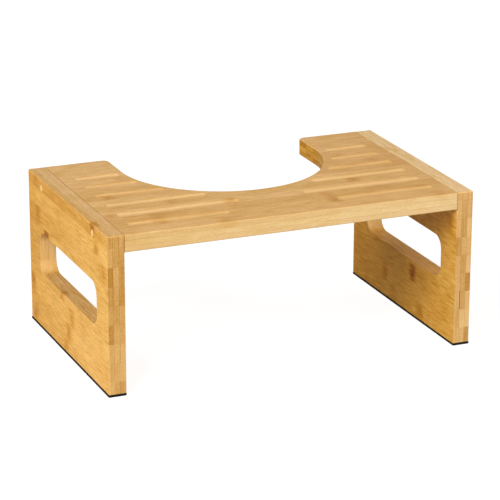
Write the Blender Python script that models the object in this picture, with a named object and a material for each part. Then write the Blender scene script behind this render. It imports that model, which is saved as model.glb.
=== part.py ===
"""Toilet footstool: a notched seat board between two side panels, all of laminated bamboo.

The board is butt-jointed between the panels and flush with their tops. Each end of it is
held by two screws under wooden plugs and located by two dowels. An anti-slip strip covers
the foot of each panel. Units are metres. +X runs along the board, +Y runs from the front
edge to the notched rear edge, +Z is up, and the origin is on the floor under the centre.
"""
from math import cos, pi, sin, sqrt

import bmesh
import bpy

# Overall form
STOOL_WIDTH = 0.440
STOOL_DEPTH = 0.273
PANEL_HEIGHT = 0.182
PANEL_THICKNESS = 0.020
BOARD_THICKNESS = 0.020

# Rounding of the wooden edges, finer where the panels meet the board
EDGE_RADIUS = 0.0012
SEAM_EDGE_RADIUS = 0.0003

# Clearance that every seated or inserted piece keeps to its neighbour
FIT_GAP = 0.0003

# Rear notch of the seat board, which goes round the foot of the toilet
NOTCH_RADIUS = 0.1225
NOTCH_LAND = 0.100
NOTCH_CORNER_RADIUS = 0.007

# Shallow grooves under the feet, in rows on each wing of the board
GROOVE_ROWS = 6
GROOVE_FIRST_ROW = 0.0335
GROOVE_PITCH = 0.0358
GROOVE_DEPTH = 0.0018
GROOVE_CUTTER_RADIUS = 0.0075
GROOVE_SEAM_MARGIN = 0.014
GROOVE_NOTCH_MARGIN = 0.007
# How far a row may reach from the board's end towards its middle, front row first
GROOVE_REACH_SHARES = (0.68, 0.81, 0.68, 1.0, 1.0, 1.0)

# Carrying slot of each side panel, centred on its length
HANDLE_LENGTH = 0.198
HANDLE_HEIGHT = 0.050
HANDLE_RISE = 0.067
HANDLE_CORNER_RADIUS = 0.015
HANDLE_EDGE_RADIUS = 0.0010

# Anti-slip strip under each panel, which stands out a little all round its foot
PAD_THICKNESS = 0.0022
PAD_OVERHANG = 0.0006
PAD_CORNER_RADIUS = 0.0020
PAD_EDGE_RADIUS = 0.0004

# Screws through the panels into the board's ends
SCREW_EDGE_DISTANCE = 0.048
SCREW_DIAMETER = 0.0045
SCREW_LENGTH = 0.045
SCREW_PLAIN_LENGTH = 0.008
SCREW_PITCH = 0.003
SCREW_THREAD_DEPTH = 0.0007
SCREW_POINT_LENGTH = 0.006
SCREW_HEAD_DIAMETER = 0.0076
SCREW_HEAD_HEIGHT = 0.0030
DRIVE_SPAN = 0.0040
DRIVE_SLOT_WIDTH = 0.0010
DRIVE_DEPTH = 0.0016

# Plugs that close the screws' counterbores
PLUG_DIAMETER = 0.008
PLUG_LENGTH = 0.008

# Dowels between the screws
DOWEL_EDGE_DISTANCE = 0.096
DOWEL_DIAMETER = 0.008
DOWEL_LENGTH = 0.030
DOWEL_PANEL_DEPTH = 0.010
DOWEL_CHAMFER = 0.0008

# How far a cutter runs past the face it opens
CUT_OVERRUN = 0.002

# Facet counts and shares that shape small forms
NOTCH_SEGMENTS = 56
CORNER_SEGMENTS = 8
EDGE_SEGMENTS = 2
HOLE_SEGMENTS = 20
GROOVE_SEGMENTS = 32
GROOVE_END_SEGMENTS = 8
THREAD_SEGMENTS = 8
THREAD_RINGS_PER_TURN = 4
OUTLINE_CORNER_SHARE = 1.3
SCREW_TIP_SHARE = 0.15
CHAMFER_SHARE = 0.12

# Places worked out from the driving dimensions
PANEL_OUTER_X = STOOL_WIDTH / 2
PANEL_INNER_X = PANEL_OUTER_X - PANEL_THICKNESS
BOARD_END_X = PANEL_INNER_X - FIT_GAP
REAR_Y = STOOL_DEPTH / 2
FRONT_Y = -REAR_Y
PANEL_BASE_Z = PAD_THICKNESS + FIT_GAP
BOARD_TOP_Z = PANEL_BASE_Z + PANEL_HEIGHT
BOARD_BASE_Z = BOARD_TOP_Z - BOARD_THICKNESS
JOINT_Z = BOARD_TOP_Z - BOARD_THICKNESS / 2
NOTCH_CENTRE_Y = FRONT_Y + NOTCH_LAND + NOTCH_RADIUS
SCREW_HOLE_RADIUS = SCREW_DIAMETER / 2 + FIT_GAP
PLUG_HOLE_RADIUS = PLUG_DIAMETER / 2 + FIT_GAP
DOWEL_HOLE_RADIUS = DOWEL_DIAMETER / 2 + FIT_GAP
SCREW_SEAT_X = PANEL_OUTER_X - PLUG_LENGTH - FIT_GAP - SCREW_HEAD_HEIGHT
COUNTERBORE_FLOOR_X = SCREW_SEAT_X - FIT_GAP
SCREW_TIP_X = SCREW_SEAT_X - SCREW_LENGTH
DOWEL_OUTER_X = PANEL_INNER_X + DOWEL_PANEL_DEPTH
DOWEL_INNER_X = DOWEL_OUTER_X - DOWEL_LENGTH

# Sign of X and of Y with the words used in names
SIDES = ((-1, "left"), (1, "right"))
ENDS = ((-1, "front"), (1, "rear"))


def clear_scene():
    """Remove whatever objects the file opens with."""
    for obj in list(bpy.data.objects):
        bpy.data.objects.remove(obj, do_unlink=True)


def make_material(name, colour, roughness, metallic=0):
    """A Principled material of one colour."""
    material = bpy.data.materials.new(name)
    material.use_nodes = True
    shader = material.node_tree.nodes["Principled BSDF"]
    shader.inputs["Base Color"].default_value = (*colour, 1)
    shader.inputs["Roughness"].default_value = roughness
    shader.inputs["Metallic"].default_value = metallic
    return material


def bamboo_board():
    """Pale laminated bamboo of the seat board."""
    return make_material("bamboo_board", (0.66, 0.42, 0.18), 0.45)


def bamboo_panel():
    """Deeper laminated bamboo of the side panels."""
    return make_material("bamboo_panel", (0.68, 0.38, 0.11), 0.45)


def bamboo_plug():
    """Pale bamboo of the plugs."""
    return make_material("bamboo_plug", (0.76, 0.53, 0.27), 0.5)


def beech_dowel():
    """Plain beech of the hidden dowels."""
    return make_material("beech_dowel", (0.62, 0.42, 0.25), 0.6)


def zinc_screw():
    """Bright zinc of the screws."""
    return make_material("zinc_screw", (0.62, 0.62, 0.60), 0.35, metallic=1)


def black_pad():
    """Matt black rubber of the anti-slip strips."""
    return make_material("black_pad", (0.012, 0.012, 0.012), 0.9)


def mesh_from(form, name, material=None):
    """Turn a bmesh into a mesh with outward faces, smooth on its round stretches."""
    bmesh.ops.recalc_face_normals(form, faces=form.faces)
    mesh = bpy.data.meshes.new(name)
    form.to_mesh(mesh)
    form.free()
    mesh.shade_smooth()
    mesh.set_sharp_from_angle(angle=pi / 6)
    if material:
        mesh.materials.append(material)
    return mesh


def add_object(name, mesh, parent, location=(0, 0, 0), half_turn=False):
    """Place a mesh; a half turn about Z faces it to the left."""
    obj = bpy.data.objects.new(name, mesh)
    bpy.context.scene.collection.objects.link(obj)
    obj.parent = parent
    obj.location = location
    obj.rotation_euler.z = pi if half_turn else 0
    return obj


def cut(obj, form, name):
    """Subtract a form, given in the object's own frame, from the object."""
    cutter = add_object(name, mesh_from(form, name), obj)
    cutter.hide_render = True
    cutter.display_type = "WIRE"
    modifier = obj.modifiers.new(name, "BOOLEAN")
    modifier.operation = "DIFFERENCE"
    modifier.solver = "EXACT"
    modifier.object = cutter


def arc(centre, radius, start, end, segments):
    """Points of an arc with both ends, as (u, v) pairs."""
    step = (end - start) / segments
    angles = [start + step * k for k in range(segments + 1)]
    return [(centre[0] + radius * cos(a), centre[1] + radius * sin(a)) for a in angles]


def rounded_rectangle(low, high, radius, inset):
    """Rectangle from low to high with round corners, drawn in by an inset."""
    centres = (
        (high[0] - radius, low[1] + radius),
        (high[0] - radius, high[1] - radius),
        (low[0] + radius, high[1] - radius),
        (low[0] + radius, low[1] + radius),
    )
    points = []
    for quarter, centre in enumerate(centres):
        start = (quarter - 1) * pi / 2
        points += arc(centre, radius - inset, start, start + pi / 2, CORNER_SEGMENTS)
    return points


def board_outline(inset):
    """Seat board in X and Y, drawn in by an inset everywhere but at its two ends."""
    radius = NOTCH_CORNER_RADIUS
    corner_x = NOTCH_RADIUS + radius
    corner_y = REAR_Y - radius
    front = FRONT_Y + inset
    rear = REAR_Y - inset
    points = [(-BOARD_END_X, rear), (-BOARD_END_X, front), (BOARD_END_X, front), (BOARD_END_X, rear)]
    points += arc((corner_x, corner_y), radius - inset, pi / 2, pi, CORNER_SEGMENTS)
    points += arc((0, NOTCH_CENTRE_Y), NOTCH_RADIUS + inset, 0, -pi, NOTCH_SEGMENTS)
    points += arc((-corner_x, corner_y), radius - inset, 0, pi / 2, CORNER_SEGMENTS)
    return points


def panel_outline(inset):
    """Side panel in Y and Z, from its own foot."""
    corner = EDGE_RADIUS * OUTLINE_CORNER_SHARE
    return rounded_rectangle((FRONT_Y, 0), (REAR_Y, PANEL_HEIGHT), corner, inset)


def handle_outline(inset):
    """Carrying slot in Y and Z, which widens where its rim is rounded."""
    low = (-HANDLE_LENGTH / 2, HANDLE_RISE)
    high = (HANDLE_LENGTH / 2, HANDLE_RISE + HANDLE_HEIGHT)
    return rounded_rectangle(low, high, HANDLE_CORNER_RADIUS, -inset)


def pad_outline(inset):
    """Anti-slip strip in X and Y, about its own middle."""
    half_width = PANEL_THICKNESS / 2 + PAD_OVERHANG
    half_length = STOOL_DEPTH / 2 + PAD_OVERHANG
    return rounded_rectangle((-half_width, -half_length), (half_width, half_length), PAD_CORNER_RADIUS, inset)


def edge_profile(low, high, low_radius, high_radius):
    """Depth and inset of a wall between two faces with rounded edges."""
    turn = [pi / 2 * k / EDGE_SEGMENTS for k in range(EDGE_SEGMENTS + 1)]
    rising = [(low + low_radius * (1 - cos(a)), low_radius * (1 - sin(a))) for a in turn]
    falling = [(high - high_radius * (1 - cos(a)), high_radius * (1 - sin(a))) for a in reversed(turn)]
    return rising + falling


def flat_in_z(u, v, depth):
    """A point of an outline drawn in X and Y."""
    return (u, v, depth)


def flat_in_x(u, v, depth):
    """A point of an outline drawn in Y and Z."""
    return (depth, u, v)


def plate(place, walls):
    """Solid with one outer wall and any holes; a wall is an outline and its edge profile."""
    form = bmesh.new()
    first_edges = []
    last_edges = []
    for outline, profile in walls:
        rings = []
        for depth, inset in profile:
            rings.append([form.verts.new(place(u, v, depth)) for u, v in outline(inset)])
        skin(form, rings)
        first_edges += ring_edges(form, rings[0])
        last_edges += ring_edges(form, rings[-1])
    bmesh.ops.triangle_fill(form, edges=first_edges, use_beauty=True)
    bmesh.ops.triangle_fill(form, edges=last_edges, use_beauty=True)
    return form


def skin(form, rings):
    """Join a stack of rings of equal counts with four-sided faces."""
    count = len(rings[0])
    for near, far in zip(rings, rings[1:]):
        for k in range(count):
            following = (k + 1) % count
            form.faces.new((near[k], near[following], far[following], far[k]))


def ring_edges(form, ring):
    """Edges of a closed ring."""
    return [form.edges.get((vertex, ring[k - 1])) for k, vertex in enumerate(ring)]


def add_turned(form, profile, y=0, z=0, segments=HOLE_SEGMENTS):
    """Add a solid of revolution about an axis along X; the profile holds (x, radius) pairs."""
    angles = [2 * pi * k / segments for k in range(segments)]
    rings = []
    for x, radius in profile:
        rings.append([form.verts.new((x, y + radius * cos(a), z + radius * sin(a))) for a in angles])
    skin(form, rings)
    form.faces.new(rings[0])
    form.faces.new(rings[-1])


def round_bar(start, end, radius):
    """Profile of a bar with hemispherical ends, which stop just short of their poles."""
    quarter = [pi / 2 * k / GROOVE_END_SEGMENTS for k in range(1, GROOVE_END_SEGMENTS + 1)]
    near_end = [(start - radius * cos(a), radius * sin(a)) for a in quarter]
    far_end = [(end + radius * cos(a), radius * sin(a)) for a in reversed(quarter)]
    return near_end + far_end


def groove_cutters():
    """Every groove's cutter, a round-nosed bar that dips into the board from above."""
    lift = GROOVE_CUTTER_RADIUS - GROOVE_DEPTH
    half_width = sqrt(GROOVE_CUTTER_RADIUS ** 2 - lift ** 2)
    outer = BOARD_END_X - GROOVE_SEAM_MARGIN - half_width
    form = bmesh.new()
    for row in range(GROOVE_ROWS):
        y = FRONT_Y + GROOVE_FIRST_ROW + GROOVE_PITCH * row
        inner = groove_inner_end(row, y) + half_width
        for start, end in ((-outer, -inner), (inner, outer)):
            profile = round_bar(start, end, GROOVE_CUTTER_RADIUS)
            add_turned(form, profile, y, BOARD_TOP_Z + lift, GROOVE_SEGMENTS)
    return form


def groove_inner_end(row, y):
    """Distance from the middle at which a row of grooves ends."""
    share = GROOVE_REACH_SHARES[min(row, len(GROOVE_REACH_SHARES) - 1)]
    own_end = BOARD_END_X * (1 - share)
    reach = NOTCH_RADIUS + GROOVE_NOTCH_MARGIN
    ahead = min(y - NOTCH_CENTRE_Y, 0)
    beside_notch = sqrt(max(reach ** 2 - ahead ** 2, 0))
    return max(own_end, beside_notch)


def board_end_holes():
    """Screw and dowel holes in both ends of the board."""
    mouth = BOARD_END_X + CUT_OVERRUN
    form = bmesh.new()
    for side, _ in SIDES:
        for end, _ in ENDS:
            screw_hole = [(mouth, SCREW_HOLE_RADIUS), (SCREW_TIP_X - FIT_GAP, SCREW_HOLE_RADIUS)]
            dowel_hole = [(mouth, DOWEL_HOLE_RADIUS), (DOWEL_INNER_X - FIT_GAP, DOWEL_HOLE_RADIUS)]
            for profile, edge_distance in ((screw_hole, SCREW_EDGE_DISTANCE), (dowel_hole, DOWEL_EDGE_DISTANCE)):
                sided = [(side * x, radius) for x, radius in profile]
                add_turned(form, sided, end * (REAR_Y - edge_distance), JOINT_Z)
    return form


def panel_holes():
    """Stepped screw holes and blind dowel holes of a panel, from its inner face and foot."""
    joint_height = PANEL_HEIGHT - BOARD_THICKNESS / 2
    step = COUNTERBORE_FLOOR_X - PANEL_INNER_X
    screw_hole = [
        (-CUT_OVERRUN, SCREW_HOLE_RADIUS),
        (step, SCREW_HOLE_RADIUS),
        (step, PLUG_HOLE_RADIUS),
        (PANEL_THICKNESS + CUT_OVERRUN, PLUG_HOLE_RADIUS),
    ]
    dowel_hole = [(-CUT_OVERRUN, DOWEL_HOLE_RADIUS), (DOWEL_PANEL_DEPTH + FIT_GAP, DOWEL_HOLE_RADIUS)]
    form = bmesh.new()
    for end, _ in ENDS:
        add_turned(form, screw_hole, end * (REAR_Y - SCREW_EDGE_DISTANCE), joint_height)
        add_turned(form, dowel_hole, end * (REAR_Y - DOWEL_EDGE_DISTANCE), joint_height)
    return form


def seat_board(parent):
    """Notched and grooved board that the feet rest on."""
    profile = edge_profile(BOARD_BASE_Z, BOARD_TOP_Z, EDGE_RADIUS, EDGE_RADIUS)
    form = plate(flat_in_z, [(board_outline, profile)])
    board = add_object("seat_board", mesh_from(form, "seat_board", bamboo_board()), parent)
    cut(board, groove_cutters(), "groove_cutters")
    cut(board, board_end_holes(), "board_end_holes")


def side_panels(parent):
    """The two side panels, one mesh used twice."""
    outer_wall = edge_profile(0, PANEL_THICKNESS, SEAM_EDGE_RADIUS, EDGE_RADIUS)
    slot_wall = edge_profile(0, PANEL_THICKNESS, HANDLE_EDGE_RADIUS, HANDLE_EDGE_RADIUS)
    form = plate(flat_in_x, [(panel_outline, outer_wall), (handle_outline, slot_wall)])
    mesh = mesh_from(form, "side_panel", bamboo_panel())
    for side, word in SIDES:
        location = (side * PANEL_INNER_X, 0, PANEL_BASE_Z)
        panel = add_object(word + "_side_panel", mesh, parent, location, half_turn=side < 0)
        cut(panel, panel_holes(), word + "_panel_holes")


def anti_slip_pads(parent):
    """The strip under each panel."""
    profile = edge_profile(0, PAD_THICKNESS, PAD_EDGE_RADIUS, PAD_EDGE_RADIUS)
    mesh = mesh_from(plate(flat_in_z, [(pad_outline, profile)]), "anti_slip_pad", black_pad())
    for side, word in SIDES:
        middle = side * (PANEL_OUTER_X - PANEL_THICKNESS / 2)
        add_object(word + "_anti_slip_pad", mesh, parent, (middle, 0, 0))


def screw_mesh():
    """Screw along X with its bearing face at the origin, its head towards +X."""
    head = SCREW_HEAD_DIAMETER / 2
    rim = head * (1 - CHAMFER_SHARE)
    top = SCREW_HEAD_HEIGHT
    angles = [2 * pi * k / THREAD_SEGMENTS for k in range(THREAD_SEGMENTS)]
    ring_step = SCREW_PITCH / THREAD_RINGS_PER_TURN
    turned_length = SCREW_LENGTH - SCREW_PLAIN_LENGTH
    ring_count = max(round(turned_length / ring_step), 1)
    depths = [SCREW_PLAIN_LENGTH + turned_length * k / ring_count for k in range(ring_count + 1)]
    stations = [(top, [rim] * THREAD_SEGMENTS), (top - (head - rim), [head] * THREAD_SEGMENTS)]
    stations += [(0, [head] * THREAD_SEGMENTS)]
    stations += [(-depth, [thread_radius(depth, a) for a in angles]) for depth in [0] + depths]
    form = bmesh.new()
    rings = []
    for x, radii in stations:
        rings.append([form.verts.new((x, r * cos(a), r * sin(a))) for r, a in zip(radii, angles)])
    skin(form, rings)
    form.faces.new(rings[0])
    form.faces.new(rings[-1])
    return mesh_from(form, "screw", zinc_screw())


def thread_radius(depth, angle):
    """Radius of the screw below its head: plain shank, helical thread, then the point."""
    crest = SCREW_DIAMETER / 2
    root = crest - SCREW_THREAD_DEPTH
    if depth <= SCREW_PLAIN_LENGTH:
        return root
    phase = (depth / SCREW_PITCH - angle / (2 * pi)) % 1
    radius = root + SCREW_THREAD_DEPTH * (1 - abs(2 * phase - 1))
    taper = min((SCREW_LENGTH - depth) / SCREW_POINT_LENGTH, 1)
    return radius * max(taper, SCREW_TIP_SHARE)


def cross_recess():
    """Cross-shaped drive recess, open at the top of a screw's head."""
    slot = DRIVE_SLOT_WIDTH / 2
    span = DRIVE_SPAN / 2
    arm = [(span, -slot), (span, slot), (slot, slot)]
    outline = []
    for quarter in range(4):
        turn = quarter * pi / 2
        outline += [(u * cos(turn) - v * sin(turn), u * sin(turn) + v * cos(turn)) for u, v in arm]
    low = SCREW_HEAD_HEIGHT - DRIVE_DEPTH
    high = SCREW_HEAD_HEIGHT + CUT_OVERRUN
    return plate(flat_in_x, [(lambda inset: outline, [(low, 0), (high, 0)])])


def screws(parent):
    """Four screws, their heads under the plugs."""
    mesh = screw_mesh()
    for side, side_word in SIDES:
        for end, end_word in ENDS:
            name = side_word + "_" + end_word + "_screw"
            location = (side * SCREW_SEAT_X, end * (REAR_Y - SCREW_EDGE_DISTANCE), JOINT_Z)
            screw = add_object(name, mesh, parent, location, half_turn=side < 0)
            cut(screw, cross_recess(), name + "_drive")


def turned_mesh(name, length, radius, near_chamfer, far_chamfer, material):
    """Round stick along -X from the origin with chamfered ends."""
    profile = [
        (0, radius - near_chamfer),
        (-near_chamfer, radius),
        (far_chamfer - length, radius),
        (-length, radius - far_chamfer),
    ]
    form = bmesh.new()
    add_turned(form, profile)
    return mesh_from(form, name, material)


def plugs(parent):
    """Four plugs, flush with the outer faces of the panels."""
    radius = PLUG_DIAMETER / 2
    near = radius * CHAMFER_SHARE / 2
    mesh = turned_mesh("plug", PLUG_LENGTH, radius, near, radius * CHAMFER_SHARE, bamboo_plug())
    for side, side_word in SIDES:
        for end, end_word in ENDS:
            name = side_word + "_" + end_word + "_plug"
            location = (side * PANEL_OUTER_X, end * (REAR_Y - SCREW_EDGE_DISTANCE), JOINT_Z)
            add_object(name, mesh, parent, location, half_turn=side < 0)


def dowels(parent):
    """Four dowels that cross the seams."""
    mesh = turned_mesh("dowel", DOWEL_LENGTH, DOWEL_DIAMETER / 2, DOWEL_CHAMFER, DOWEL_CHAMFER, beech_dowel())
    for side, side_word in SIDES:
        for end, end_word in ENDS:
            name = side_word + "_" + end_word + "_dowel"
            location = (side * DOWEL_OUTER_X, end * (REAR_Y - DOWEL_EDGE_DISTANCE), JOINT_Z)
            add_object(name, mesh, parent, location, half_turn=side < 0)


def main():
    """Build the whole footstool under one empty."""
    clear_scene()
    stool = bpy.data.objects.new("toilet_footstool", None)
    bpy.context.scene.collection.objects.link(stool)
    seat_board(stool)
    side_panels(stool)
    anti_slip_pads(stool)
    screws(stool)
    plugs(stool)
    dowels(stool)


main()
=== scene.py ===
"""Looks of the toilet footstool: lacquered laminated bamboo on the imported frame.

Metres, in the frame's axes: +X runs along the board, +Y from the front edge to the notched
rear edge, +Z is up. Fine-meshed pieces stand for the board, the panels, the strips under them
and the plugs. The hidden screws and dowels stay as packed and get finished materials.
"""

from math import acos, cos, pi, radians, sin, sqrt

import bmesh
import bpy
from mathutils import Matrix, Quaternion, Vector


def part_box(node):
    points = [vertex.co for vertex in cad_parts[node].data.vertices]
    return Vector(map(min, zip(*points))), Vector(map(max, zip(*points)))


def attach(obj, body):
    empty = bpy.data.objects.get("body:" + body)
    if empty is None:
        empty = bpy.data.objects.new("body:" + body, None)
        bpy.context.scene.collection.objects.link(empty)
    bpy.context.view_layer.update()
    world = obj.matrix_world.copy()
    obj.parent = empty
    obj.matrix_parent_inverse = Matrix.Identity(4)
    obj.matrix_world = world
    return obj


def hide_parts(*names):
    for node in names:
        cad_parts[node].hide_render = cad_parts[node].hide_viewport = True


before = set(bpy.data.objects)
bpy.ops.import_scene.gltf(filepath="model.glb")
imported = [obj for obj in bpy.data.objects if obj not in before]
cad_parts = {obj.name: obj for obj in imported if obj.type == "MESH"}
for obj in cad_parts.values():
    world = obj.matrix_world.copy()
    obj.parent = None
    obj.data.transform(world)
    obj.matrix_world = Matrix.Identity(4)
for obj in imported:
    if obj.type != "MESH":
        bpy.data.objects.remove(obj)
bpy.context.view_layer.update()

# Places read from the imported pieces
PANEL_LOW, PANEL_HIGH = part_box("right_side_panel")
BOARD_LOW, BOARD_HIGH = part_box("seat_board")
PAD_LOW, PAD_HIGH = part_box("right_anti_slip_pad")
PLUG_LOW, PLUG_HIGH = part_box("right_front_plug")
SCREW_LOW, SCREW_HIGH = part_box("right_front_screw")
DOWEL_LOW, DOWEL_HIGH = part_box("right_front_dowel")

INNER_X, OUTER_X = PANEL_LOW.x, PANEL_HIGH.x
FRONT_Y, REAR_Y = PANEL_LOW.y, PANEL_HIGH.y
BASE_Z, TOP_Z = PANEL_LOW.z, PANEL_HIGH.z
BOARD_END_X = BOARD_HIGH.x
BOARD_BASE_Z = BOARD_LOW.z
STOOL_WIDTH = 2 * OUTER_X
STOOL_DEPTH = REAR_Y - FRONT_Y
PANEL_THICKNESS = OUTER_X - INNER_X
PLUG_RADIUS = (PLUG_HIGH.z - PLUG_LOW.z) / 2
PLUG_LENGTH = PLUG_HIGH.x - PLUG_LOW.x
PLUG_Y = -(PLUG_LOW.y + PLUG_HIGH.y) / 2
DOWEL_Y = -(DOWEL_LOW.y + DOWEL_HIGH.y) / 2
JOINT_Z = (PLUG_LOW.z + PLUG_HIGH.z) / 2

# Sizes that the frame's boxes don't give, the same as in the part's source
EDGE_RADIUS = 0.0012
SEAM_EDGE_RADIUS = 0.0003
FIT_GAP = 0.0003
NOTCH_RADIUS = 0.1225
NOTCH_LAND = 0.100
NOTCH_CORNER_RADIUS = 0.007
GROOVE_ROWS = 6
GROOVE_FIRST_ROW = 0.0335
GROOVE_PITCH = 0.0358
GROOVE_DEPTH = 0.0018
GROOVE_CUTTER_RADIUS = 0.0075
GROOVE_SEAM_MARGIN = 0.014
GROOVE_NOTCH_MARGIN = 0.007
GROOVE_REACH_SHARES = (0.68, 0.81, 0.68, 1.0, 1.0, 1.0)
HANDLE_LENGTH = 0.198
HANDLE_HEIGHT = 0.050
HANDLE_RISE = 0.067
HANDLE_CORNER_RADIUS = 0.015
HANDLE_EDGE_RADIUS = 0.0010
PANEL_CORNER_RADIUS = 0.00156
PAD_CORNER_RADIUS = 0.0020
PAD_EDGE_RADIUS = 0.0004
SCREW_HEAD_HEIGHT = 0.0030
SCREW_HOLE_RADIUS = 0.00255
DOWEL_HOLE_RADIUS = (DOWEL_HIGH.z - DOWEL_LOW.z) / 2 + FIT_GAP
NOTCH_CENTRE_Y = FRONT_Y + NOTCH_LAND + NOTCH_RADIUS

# Softened rim of a groove, and how much wider the notch's rim is than high
GROOVE_RIM_RADIUS = 0.0030
NOTCH_SOFTENING = 2.2
# Height of the rounding along a panel's foot, as a share of that of its other edges
FOOT_ROUNDING_SHARE = 0.3
# Broken edge of a plug's ends
PLUG_CHAMFER = 0.0002
# How far a cutter runs past the face it opens
CUT_OVERRUN = 0.002

# Facets of round stretches
NOTCH_SEGMENTS = 160
CORNER_SEGMENTS = 12
EDGE_SEGMENTS = 5
GROOVE_SEGMENTS = 12
HOLE_SEGMENTS = 48
FLOOR_SEGMENTS = 64

# Shading: the least angle of a sharp edge, and how strongly a face's size weighs in its normals
SHARP_ANGLE = radians(30)
SIZE_WEIGHT = 100

# Photograph's camera
CAMERA_TARGET = (-0.0064, -0.0226, 0.1072)
CAMERA_DISTANCE = 2.820
CAMERA_AZIMUTH = -22.735
CAMERA_ELEVATION = 18.710
CAMERA_ROLL = 0.16
CAMERA_LENS = 176.7
CAMERA_SENSOR = 36
CAMERA_RANGE = (0.05, 100)

# Studio
WHITE = (1, 1, 1, 1)
SURROUNDINGS_STRENGTH = 0.30
FLOOR_RADIUS = 30
# The floor's grey to the light, then to the eye its grey that takes shadows and its glow
FLOOR_BOUNCE = 0.50
FLOOR_SHADOW_SHARE = 0.25
FLOOR_GLOW = 0.90

# Lamps: name, azimuth, elevation, distance, size and power
LAMPS = (
    ("left", -56, 35, 5.0, 3.0, 226.0),
    ("front", 35, 20, 2.6, 1.4, 20.7),
)

SIDES = ((-1, "left"), (1, "right"))
ENDS = ((-1, "front"), (1, "rear"))


# Mesh building

def arc(centre, radius, start, end, segments, last_radius=None):
    """Points of an arc with both ends, as (u, v) pairs; the radius may change along it."""
    step = (end - start) / segments
    growth = 0 if last_radius is None else (last_radius - radius) / segments
    turns = [(start + step * k, radius + growth * k) for k in range(segments + 1)]
    return [(centre[0] + r * cos(a), centre[1] + r * sin(a)) for a, r in turns]


def rounded_rectangle(low, high, radius, inset):
    """Rectangle from low to high with round corners, drawn in by an inset."""
    centres = (
        (high[0] - radius, low[1] + radius),
        (high[0] - radius, high[1] - radius),
        (low[0] + radius, high[1] - radius),
        (low[0] + radius, low[1] + radius),
    )
    points = []
    for quarter, centre in enumerate(centres):
        start = (quarter - 1) * pi / 2
        points += arc(centre, radius - inset, start, start + pi / 2, CORNER_SEGMENTS)
    return points


def board_outline(inset):
    """Seat board in X and Y, drawn in everywhere but at its two ends, and most in the notch."""
    radius = NOTCH_CORNER_RADIUS
    notch_inset = NOTCH_SOFTENING * inset
    corner_x = NOTCH_RADIUS + radius
    corner_y = REAR_Y - radius
    front = FRONT_Y + inset
    rear = REAR_Y - inset
    points = [(-BOARD_END_X, rear), (-BOARD_END_X, front), (BOARD_END_X, front), (BOARD_END_X, rear)]
    outer, inner = radius - inset, radius - notch_inset
    points += arc((corner_x, corner_y), outer, pi / 2, pi, CORNER_SEGMENTS, inner)
    points += arc((0, NOTCH_CENTRE_Y), NOTCH_RADIUS + notch_inset, 0, -pi, NOTCH_SEGMENTS)
    points += arc((-corner_x, corner_y), inner, 0, pi / 2, CORNER_SEGMENTS, outer)
    return points


def panel_outline(inset):
    """Side panel in Y and Z, with its rounding pressed flatter along the foot."""
    points = rounded_rectangle((FRONT_Y, BASE_Z), (REAR_Y, TOP_Z), PANEL_CORNER_RADIUS, inset)
    pressed = []
    for y, z in points:
        share = FOOT_ROUNDING_SHARE if z < (BASE_Z + TOP_Z) / 2 else 1
        pressed.append((y, BASE_Z + (z - BASE_Z) * share))
    return pressed


def handle_outline(inset):
    """Carrying slot in Y and Z, which widens where its rim is rounded."""
    low = (-HANDLE_LENGTH / 2, BASE_Z + HANDLE_RISE)
    high = (HANDLE_LENGTH / 2, BASE_Z + HANDLE_RISE + HANDLE_HEIGHT)
    return rounded_rectangle(low, high, HANDLE_CORNER_RADIUS, -inset)


def pad_outline(inset):
    """Right anti-slip strip in X and Y."""
    return rounded_rectangle(PAD_LOW.xy, PAD_HIGH.xy, PAD_CORNER_RADIUS, inset)


def edge_profile(low, high, low_radius, high_radius):
    """Depth and inset of a wall between two faces with rounded edges."""
    turn = [pi / 2 * k / EDGE_SEGMENTS for k in range(EDGE_SEGMENTS + 1)]
    rising = [(low + low_radius * (1 - cos(a)), low_radius * (1 - sin(a))) for a in turn]
    falling = [(high - high_radius * (1 - cos(a)), high_radius * (1 - sin(a))) for a in reversed(turn)]
    return rising + falling


def flat_in_z(u, v, depth):
    """A point of an outline drawn in X and Y."""
    return (u, v, depth)


def flat_in_x(u, v, depth):
    """A point of an outline drawn in Y and Z."""
    return (depth, u, v)


def skin(form, rings):
    """Join a stack of rings of equal counts with four-sided faces."""
    count = len(rings[0])
    for near, far in zip(rings, rings[1:]):
        for k in range(count):
            following = (k + 1) % count
            form.faces.new((near[k], near[following], far[following], far[k]))


def ring_edges(form, ring):
    """Edges of a closed ring."""
    return [form.edges.get((vertex, ring[k - 1])) for k, vertex in enumerate(ring)]


def plate(place, walls):
    """Solid with one outer wall and any holes; a wall is an outline and its edge profile."""
    form = bmesh.new()
    first_edges = []
    last_edges = []
    for outline, profile in walls:
        rings = []
        for depth, inset in profile:
            rings.append([form.verts.new(place(u, v, depth)) for u, v in outline(inset)])
        skin(form, rings)
        first_edges += ring_edges(form, rings[0])
        last_edges += ring_edges(form, rings[-1])
    bmesh.ops.triangle_fill(form, edges=first_edges, use_beauty=True)
    bmesh.ops.triangle_fill(form, edges=last_edges, use_beauty=True)
    return form


def add_turned(form, profile, y, z):
    """Add a solid of revolution about an axis along X; the profile holds (x, radius) pairs."""
    angles = [2 * pi * k / HOLE_SEGMENTS for k in range(HOLE_SEGMENTS)]
    rings = []
    for x, radius in profile:
        rings.append([form.verts.new((x, y + radius * cos(a), z + radius * sin(a))) for a in angles])
    skin(form, rings)
    form.faces.new(rings[0])
    form.faces.new(rings[-1])


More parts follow.
